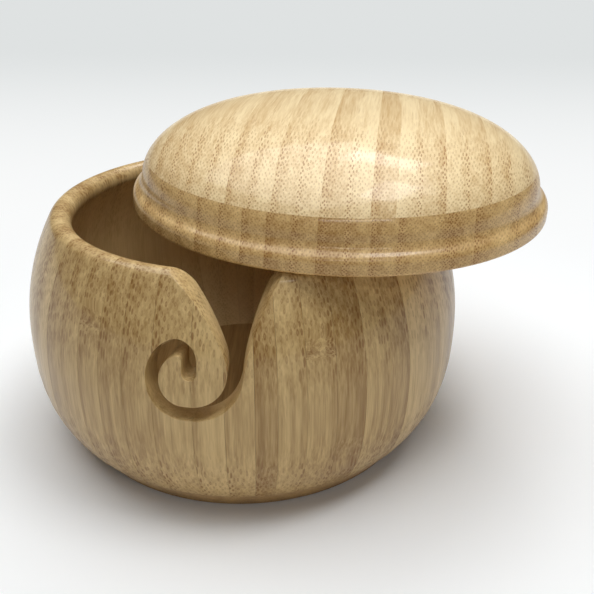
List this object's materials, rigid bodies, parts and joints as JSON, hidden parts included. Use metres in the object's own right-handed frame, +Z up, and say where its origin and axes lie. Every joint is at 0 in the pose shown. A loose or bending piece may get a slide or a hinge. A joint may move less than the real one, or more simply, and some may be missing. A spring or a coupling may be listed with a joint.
{
  "type": "yarn bowl with lid",
  "caption": "Turned laminated bamboo bowl with a spiral yarn guide cut through its wall and a loose domed lid set ajar on its rim.",
  "frame": {"origin": "centre of the bowl's flat underside, on the bowl's turning axis", "axes": "+Z up along the bowl's turning axis; -Y towards the middle of the yarn guide's mouth; the lid is pushed off centre towards +X"},
  "size_m": [0.1776, 0.1502, 0.1134],
  "materials": {
    "wall_bamboo": "satin lacquer on upright bamboo staves",
    "base_bamboo": "satin lacquer, browner board",
    "lid_lower_bamboo": "satin lacquer on bamboo strips laid front to back",
    "lid_upper_bamboo": "satin lacquer on bamboo strips laid front to back"
  },
  "bodies": {
    "bowl": {"base_board": "base_bamboo", "wall_staves_1": "wall_bamboo", "wall_staves_2": "wall_bamboo", "wall_staves_3": "wall_bamboo", "wall_staves_4": "wall_bamboo", "wall_staves_5": "wall_bamboo", "wall_staves_6": "wall_bamboo", "wall_staves_7": "wall_bamboo", "wall_staves_8": "wall_bamboo", "wall_staves_9": "wall_bamboo", "guide_stave_1": "wall_bamboo", "guide_stave_2": "wall_bamboo", "guide_stave_3": "wall_bamboo", "guide_stave_4": "wall_bamboo", "guide_stave_5": "wall_bamboo", "guide_stave_6": "wall_bamboo"},
    "lid": {"lid_lower_strip_1": "lid_lower_bamboo", "lid_lower_strip_2": "lid_lower_bamboo", "lid_lower_strip_3": "lid_lower_bamboo", "lid_lower_strip_4": "lid_lower_bamboo", "lid_lower_strip_5": "lid_lower_bamboo", "lid_lower_strip_6": "lid_lower_bamboo", "lid_lower_strip_7": "lid_lower_bamboo", "lid_lower_strip_8": "lid_lower_bamboo", "lid_lower_strip_9": "lid_lower_bamboo", "lid_lower_strip_10": "lid_lower_bamboo", "lid_lower_strip_11": "lid_lower_bamboo", "lid_lower_strip_12": "lid_lower_bamboo", "lid_lower_strip_13": "lid_lower_bamboo", "lid_lower_strip_14": "lid_lower_bamboo", "lid_lower_strip_15": "lid_lower_bamboo", "lid_lower_strip_16": "lid_lower_bamboo", "lid_lower_strip_17": "lid_lower_bamboo", "lid_lower_strip_18": "lid_lower_bamboo", "lid_lower_strip_19": "lid_lower_bamboo", "lid_lower_strip_20": "lid_lower_bamboo", "lid_upper_strip_1": "lid_upper_bamboo", "lid_upper_strip_2": "lid_upper_bamboo", "lid_upper_strip_3": "lid_upper_bamboo", "lid_upper_strip_4": "lid_upper_bamboo", "lid_upper_strip_5": "lid_upper_bamboo", "lid_upper_strip_6": "lid_upper_bamboo", "lid_upper_strip_7": "lid_upper_bamboo", "lid_upper_strip_8": "lid_upper_bamboo", "lid_upper_strip_9": "lid_upper_bamboo", "lid_upper_strip_10": "lid_upper_bamboo", "lid_upper_strip_11": "lid_upper_bamboo", "lid_upper_strip_12": "lid_upper_bamboo", "lid_upper_strip_13": "lid_upper_bamboo", "lid_upper_strip_14": "lid_upper_bamboo", "lid_upper_strip_15": "lid_upper_bamboo", "lid_upper_strip_16": "lid_upper_bamboo", "lid_upper_strip_17": "lid_upper_bamboo", "lid_upper_strip_18": "lid_upper_bamboo", "lid_upper_strip_19": "lid_upper_bamboo", "lid_upper_strip_20": "lid_upper_bamboo"}
  },
  "joints": [
    {"name": "lid_lift", "type": "slide", "parent": "bowl", "child": "lid", "axis": [0, 0, 1], "range_m": [0, 0.12]}
  ]
}
